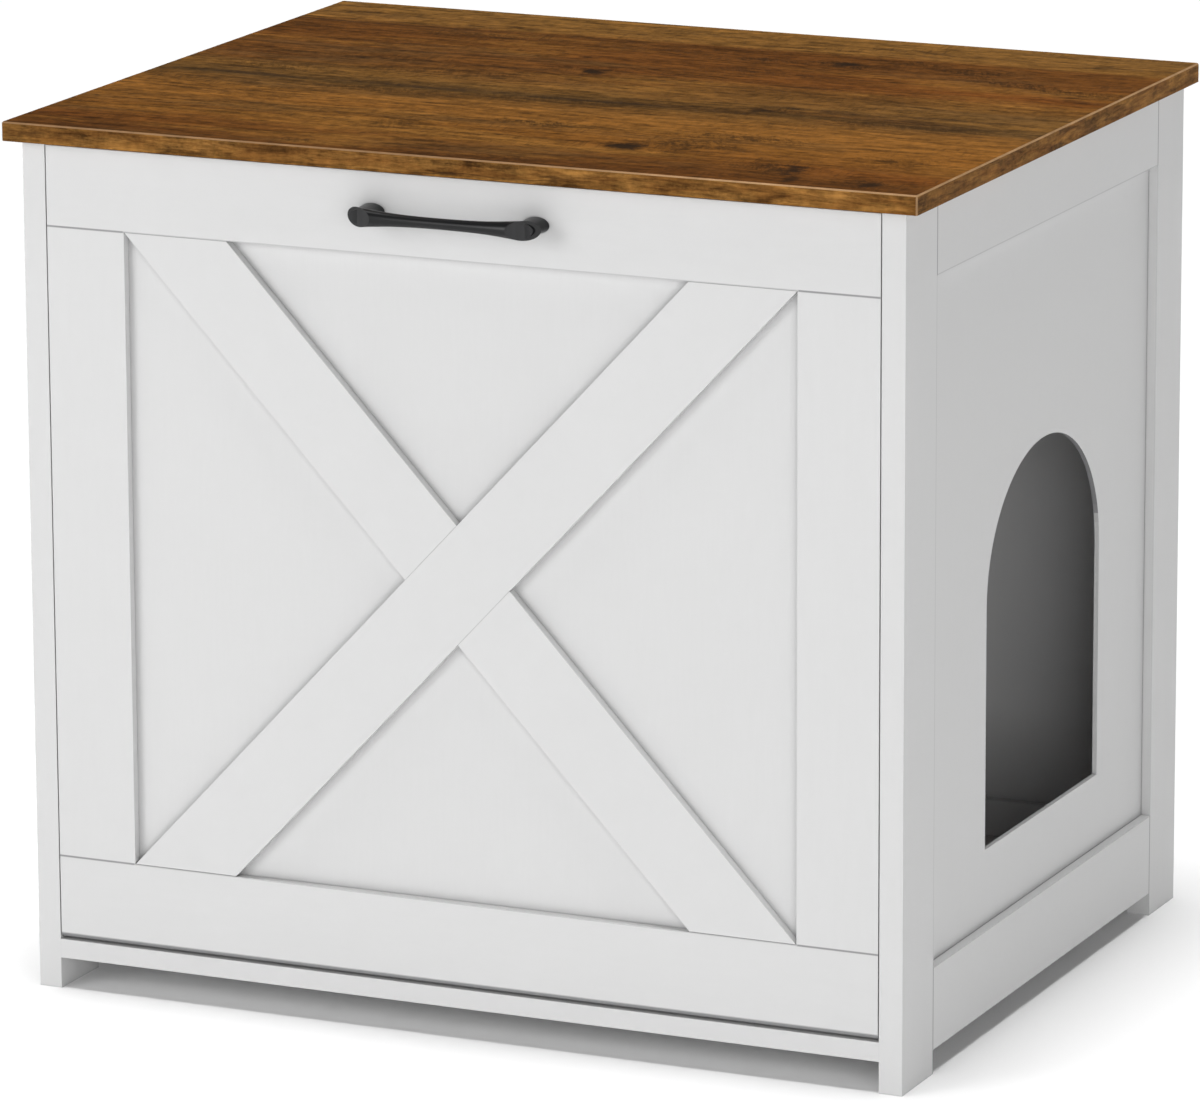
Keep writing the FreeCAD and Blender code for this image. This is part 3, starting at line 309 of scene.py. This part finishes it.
def white(name, tone, weave, reach, shade_edge, strip=False):
    """Satin white foil: a fine pressed texture, slow waves of gloss and a trace of tone variation."""
    m = Tree(name)
    x, y, z = m.xyz(m.coord)
    slow = m.noise(m.coord, (7.0, 7.0, 7.0), 3.0, 0.5)
    fibre = m.noise(m.coord, weave, 3.0, 0.6, (3.0, 1.0, 2.0))
    peel = m.noise(m.coord, (1500.0, 1500.0, 1500.0), 2.0, 0.5)
    fleck = m.noise(m.coord, (420.0, 420.0, 420.0), 2.0, 0.6, (9.0, 4.0, 1.0))
    shade = m.math("ADD", m.math("MULTIPLY", slow, 0.5), m.math("MULTIPLY", fibre, 0.5))
    lo = srgb(*(c - 1 for c in tone))
    hi = srgb(*(c + 1 for c in tone))
    col = m.ramp(shade, [(0.30, lo), (0.70, hi)])
    col = m.mix(m.step(fleck, 0.70, 0.80, 0.0, 0.08), col, srgb(*(c - 26 for c in tone)))
    # painted shade: an ambient-occlusion mask greys the colour where two boards meet and in inner corners and recesses
    near = m.add("ShaderNodeAmbientOcclusion", samples=4)
    near.inputs["Distance"].default_value = reach
    painted_seam_shade = m.step(near.outputs["AO"], 0.35, 0.95, shade_edge, 0.0)
    col = m.mix(painted_seam_shade, col, srgb(96, 96, 98))
    # painted shade: the thin arris round each board is painted greyer, most of all on its lower and left sides
    tn = m.add("ShaderNodeVectorTransform", vector_type="NORMAL", convert_from="WORLD", convert_to="OBJECT")
    m.join(m.add("ShaderNodeNewGeometry").outputs["True Normal"], tn.inputs[0])
    nx, ny, nz = m.xyz(tn.outputs[0])
    ax, ay, az = (m.math("ABSOLUTE", v) for v in (nx, ny, nz))
    if strip:
        painted_shade_rim = m.math("MULTIPLY", m.step(ay, 0.15, 0.30), m.step(ay, 0.96, 0.99, 1.0, 0.0))
    else:
        painted_shade_rim = m.step(m.math("MAXIMUM", m.math("MAXIMUM", ax, ay), az), 0.96, 0.99, 1.0, 0.0)
    shaded_side_facing = m.math("MULTIPLY_ADD", nx, -0.75, m.math("MULTIPLY", nz, -0.66))
    painted_shade_rim = m.math("MULTIPLY", painted_shade_rim, m.step(shaded_side_facing, -0.20, 0.25, 0.45, 1.0))
    if not strip:
        # painted shade lines where rail meets stile or post, standing in for the shadow in the joint gap, and on the
        # arrises: at set heights and set depths
        on_door = m.math("MULTIPLY", m.math("LESS_THAN", y, FRONT + 0.0125), m.math("LESS_THAN", m.math("ABSOLUTE", x), 0.2746))
        between = m.math("MULTIPLY", m.math("GREATER_THAN", y, POST_FRONT), m.math("LESS_THAN", y, POST_BACK))
        line = 0.0
        for plane, lo_y in ((DOOR_LOW, None), (DOOR_HIGH, None), (SIDE_LOW, 1), (SIDE_HIGH, 1)):
            near_z = m.step(m.math("ABSOLUTE", m.math("SUBTRACT", z, plane)), 0.0003, 0.0009, 1.0, 0.0)
            here = m.math("MULTIPLY", near_z, between if lo_y else on_door)
            if lo_y:
                here = m.math("MULTIPLY", here, m.step(ax, 0.5, 0.9, 0.0, 0.45))
            else:
                here = m.math("MULTIPLY", here, m.step(m.math("ABSOLUTE", x), DOOR_IN, DOOR_IN + 0.001, 0.35, 0.90))
                here = m.math("MULTIPLY", here, m.step(ay, 0.5, 0.9))
            line = m.math("MAXIMUM", line, here)
        for plane in (POST_FRONT, POST_BACK):
            near_y = m.step(m.math("ABSOLUTE", m.math("SUBTRACT", y, plane)), 0.0003, 0.0009, 1.0, 0.0)
            tall = m.math("MAXIMUM", m.step(z, SIDE_LOW, SIDE_LOW + 0.001, 0.9, 0.40), m.step(z, SIDE_HIGH - 0.001, SIDE_HIGH, 0.0, 0.9))
            here = m.math("MULTIPLY", m.math("MULTIPLY", near_y, tall), m.step(ax, 0.5, 0.9))
            line = m.math("MAXIMUM", line, here)
        painted_shade_rim = m.math("MAXIMUM", painted_shade_rim, line)
    # painted shade on the arrises and joint lines: these masks mix the colour towards grey
    col = m.mix(m.math("MULTIPLY", painted_shade_rim, 0.80), col, srgb(104, 104, 106))
    rough = m.math("ADD", m.math("MULTIPLY", slow, 0.12), m.math("ADD", m.math("MULTIPLY", fibre, 0.05), 0.38))
    h = m.math("ADD", m.math("MULTIPLY", peel, 0.7), m.math("MULTIPLY", fibre, 0.5))
    return m.finish(col, rough, m.bump(h, 0.000012, 0.35), specular=0.35)


# ---------------------------------------------------------------- metals, plastic, raw wood
def satin_black():
    m = Tree("handle_satin_black")
    grain = m.noise(m.coord, (2600.0, 2600.0, 2600.0), 2.0, 0.55)
    slow = m.noise(m.coord, (40.0, 90.0, 90.0), 3.0, 0.5)
    col = m.ramp(m.math("ADD", m.math("MULTIPLY", grain, 0.4), m.math("MULTIPLY", slow, 0.6)),
                 [(0.30, srgb(13, 13, 14)), (0.70, srgb(22, 22, 23))])
    # painted highlight: sharp edges, found by pointiness, are painted lighter grey
    edge_highlight = m.step(m.add("ShaderNodeNewGeometry").outputs["Pointiness"], 0.52, 0.60)
    col = m.mix(m.math("MULTIPLY", edge_highlight, 0.25), col, srgb(60, 60, 62))
    rough = m.math("ADD", m.math("MULTIPLY", grain, 0.12), 0.24)
    return m.finish(col, rough, m.bump(grain, 0.00003, 0.5), metallic=0.0, specular=0.26)


def metal(name, tone, rough0, brush, coarse=1.0):
    m = Tree(name)
    lines = m.noise(m.coord, brush, 3.0, 0.6)
    spots = m.noise(m.coord, (300.0 * coarse, 300.0 * coarse, 300.0 * coarse), 4.0, 0.65, (5.0, 2.0, 1.0))
    both = m.math("ADD", m.math("MULTIPLY", lines, 0.5), m.math("MULTIPLY", spots, 0.5))
    col = m.ramp(both, [(0.30, srgb(*(c - 30 for c in tone))), (0.60, srgb(*tone)), (0.80, srgb(*(min(255, c + 14) for c in tone)))])
    rough = m.math("ADD", m.math("MULTIPLY", both, 0.22), rough0)
    return m.finish(col, rough, m.bump(both, 0.00004, 0.5), metallic=1.0, specular=0.5)


def nylon():
    m = Tree("nylon_white")
    fine = m.noise(m.coord, (1400.0, 1400.0, 1400.0), 2.0, 0.5)
    slow = m.noise(m.coord, (120.0, 120.0, 120.0), 3.0, 0.5)
    col = m.ramp(slow, [(0.3, srgb(224, 224, 218)), (0.7, srgb(238, 238, 233))])
    rough = m.math("ADD", m.math("MULTIPLY", fine, 0.15), 0.35)
    return m.finish(col, rough, m.bump(fine, 0.00003, 0.5), specular=0.45)


def beech():
    m = Tree("dowel_beech")
    fibre = m.noise(m.coord, (90.0, 900.0, 900.0), 4.0, 0.6)
    fleck = m.noise(m.coord, (260.0, 1500.0, 700.0), 2.0, 0.5, (3.0, 3.0, 3.0))
    col = m.ramp(fibre, [(0.30, srgb(196, 160, 116)), (0.70, srgb(222, 190, 148))])
    col = m.mix(m.step(fleck, 0.58, 0.70, 0.0, 0.5), col, srgb(166, 124, 84))
    rough = m.math("ADD", m.math("MULTIPLY", fibre, 0.2), 0.55)
    return m.finish(col, rough, m.bump(fibre, 0.00006, 0.6), specular=0.3)


board_v = white("board_white_upright", (201, 201, 201), (220.0, 220.0, 30.0), 0.0013, 0.40)
board_h = white("board_white_level", (201, 201, 201), (30.0, 220.0, 220.0), 0.0013, 0.40)
strip = white("board_white_strip", (201, 201, 201), (60.0, 220.0, 60.0), 0.0013, 0.40, True)
sheet_v = white("sheet_white", (201, 201, 201), (420.0, 420.0, 30.0), 0.0060, 0.30)
wood = wood_top()
black = satin_black()
steel = metal("zinc_plated_steel", (196, 196, 198), 0.20, (900.0, 900.0, 120.0))
zinc = metal("die_cast_zinc", (168, 168, 172), 0.34, (500.0, 500.0, 500.0), 1.6)
ferrite = metal("magnet_ferrite", (70, 70, 73), 0.45, (700.0, 700.0, 700.0), 2.0)
plastic = nylon()
raw = beech()

finish_of = {
    "top_board": wood, "handle": black,
    "cam_bolts": steel, "door_pivot_pins": steel, "strike_plates": steel, "strike_screws": steel, "handle_screws": steel,
    "cam_discs": zinc, "catch_magnets": ferrite, "pivot_bushes": plastic, "catch_sleeves": plastic,
    "frame_dowels": raw, "door_dowels": raw,
    "side_panel_right": sheet_v, "side_panel_left": sheet_v, "back_panel": sheet_v, "door_panel": sheet_v,
    "side_rail_bottom_right": board_h, "side_rail_bottom_left": board_h, "side_rail_top_right": board_h,
    "side_rail_top_left": board_h, "bottom_board": board_h, "front_stretcher": board_h, "back_rail_top": board_h,
    "back_rail_bottom": board_h, "door_rail_bottom": board_h, "door_rail_top": board_h,
    "brace_long": strip, "brace_upper": strip, "brace_lower": strip,
}
for name, ob in nodes.items():
    mat = finish_of.get(name, board_v)
    for s in ob.material_slots:
        s.material = mat
    # eased edges: every white board has a fine rounding, so joints between boards read as fine lines
    if mat in (board_v, board_h, strip):
        weld = ob.modifiers.new("weld", "WELD")
        weld.merge_threshold = 0.00001
        ease = ob.modifiers.new("ease", "BEVEL")
        ease.width = 0.0004
        ease.segments = 2
        ease.limit_method = "ANGLE"
        ease.angle_limit = math.radians(40)
        ease.harden_normals = True
        ease.use_clamp_overlap = True


# ---------------------------------------------------------------- floor, world, lights
floor_mesh = bpy.data.meshes.new("floor")
R = 40.0
floor_mesh.from_pydata([(-R, -R, 0), (R, -R, 0), (R, R, 0), (-R, R, 0)], [], [(0, 1, 2, 3)])
floor = bpy.data.objects.new("floor", floor_mesh)
scene.collection.objects.link(floor)
f = Tree("floor_pale")
f.finish(f.ramp(f.noise(f.coord, (1.2, 1.2, 1.2), 2.0), [(0.2, (0.93, 0.93, 0.93, 1)), (0.8, (0.95, 0.95, 0.95, 1))]), 0.9, specular=0.0)
floor_mesh.materials.append(f.mat)

world = bpy.data.worlds.new("studio")
scene.world = world
world.use_nodes = True
wt = world.node_tree
wt.nodes.clear()
wo = wt.nodes.new("ShaderNodeOutputWorld")
bg = wt.nodes.new("ShaderNodeBackground")
tc = wt.nodes.new("ShaderNodeTexCoord")
sx = wt.nodes.new("ShaderNodeSeparateXYZ")
wt.links.new(tc.outputs["Generated"], sx.inputs[0])


def sky_step(socket, lo, hi, a, b):
    n = wt.nodes.new("ShaderNodeMapRange")
    n.interpolation_type = "SMOOTHSTEP"
    wt.links.new(socket, n.inputs["Value"])
    for key, v in (("From Min", lo), ("From Max", hi), ("To Min", a), ("To Max", b)):
        n.inputs[key].default_value = v
    return n.outputs[0]


def sky_math(op, a, b):
    n = wt.nodes.new("ShaderNodeMath")
    n.operation = op
    wt.links.new(a, n.inputs[0])
    if isinstance(b, bpy.types.NodeSocket):
        wt.links.new(b, n.inputs[1])
    else:
        n.inputs[1].default_value = b
    return n.outputs[0]


# white at the horizon, a soft white wall in front up to 45 degrees, dim above and behind
horizon = sky_step(sx.outputs[2], 0.02, 0.13, 1.0, 0.0)
in_front = sky_step(sx.outputs[1], -0.55, 0.15, 1.0, 0.0)
wall = sky_math("MULTIPLY", in_front, sky_step(sx.outputs[2], 0.50, 0.80, 0.50, 0.0))
wall = sky_math("MAXIMUM", horizon, sky_math("ADD", wall, 0.05))
wt.links.new(wall, bg.inputs["Strength"])
bg.inputs["Color"].default_value = (1.0, 1.0, 1.0, 1)
wt.links.new(bg.outputs[0], wo.inputs[0])


def sun(name, to_light, strength, angle):
    d = bpy.data.lights.new(name, "SUN")
    d.energy = strength
    d.angle = math.radians(angle)
    o = bpy.data.objects.new(name, d)
    o.rotation_mode = "QUATERNION"
    o.rotation_quaternion = Vector(to_light).to_track_quat("Z", "Y")
    o.location = Vector(to_light) * 4
    scene.collection.objects.link(o)
    return o


def softbox(name, to_light, distance, power, width, height):
    d = bpy.data.lights.new(name, "AREA")
    d.shape = "RECTANGLE"
    d.size, d.size_y = width, height
    d.energy = power
    o = bpy.data.objects.new(name, d)
    o.rotation_mode = "QUATERNION"
    o.rotation_quaternion = Vector(to_light).to_track_quat("Z", "Y")
    o.location = Vector((0.0, 0.0, 0.30)) + Vector(to_light).normalized() * distance
    o.visible_camera = False
    scene.collection.objects.link(o)
    return o


softbox("key", (-0.55, -0.78, 0.28), 3.4, 32.0, 1.4, 1.4)
softbox("fill", (0.62, -0.78, 0.12), 4.0, 32.5, 1.8, 1.6)
sun("overhead", (0.0, 0.0, 1.0), 2.9, 24)
scene.cycles.diffuse_bounces = 8
scene.cycles.max_bounces = 12

# ---------------------------------------------------------------- camera
cam = bpy.data.cameras.new("camera")
cam.sensor_fit = "HORIZONTAL"
cam.sensor_width = 36.0
cam.lens = 240.0
cam.clip_start, cam.clip_end = 0.1, 200.0
camera = bpy.data.objects.new("camera", cam)
scene.collection.objects.link(camera)
camera.matrix_world = Matrix((
    (0.91178800, -0.09322409, 0.39993990, 2.000215),
    (0.41063997, 0.21688510, -0.88562727, -4.440559),
    (-0.00417921, 0.97173562, 0.23603477, 1.437727),
    (0, 0, 0, 1)))
scene.camera = camera

scene.view_settings.view_transform = "Standard"
scene.view_settings.look = "None"
scene.view_settings.exposure = 0.0
scene.view_settings.gamma = 1.0
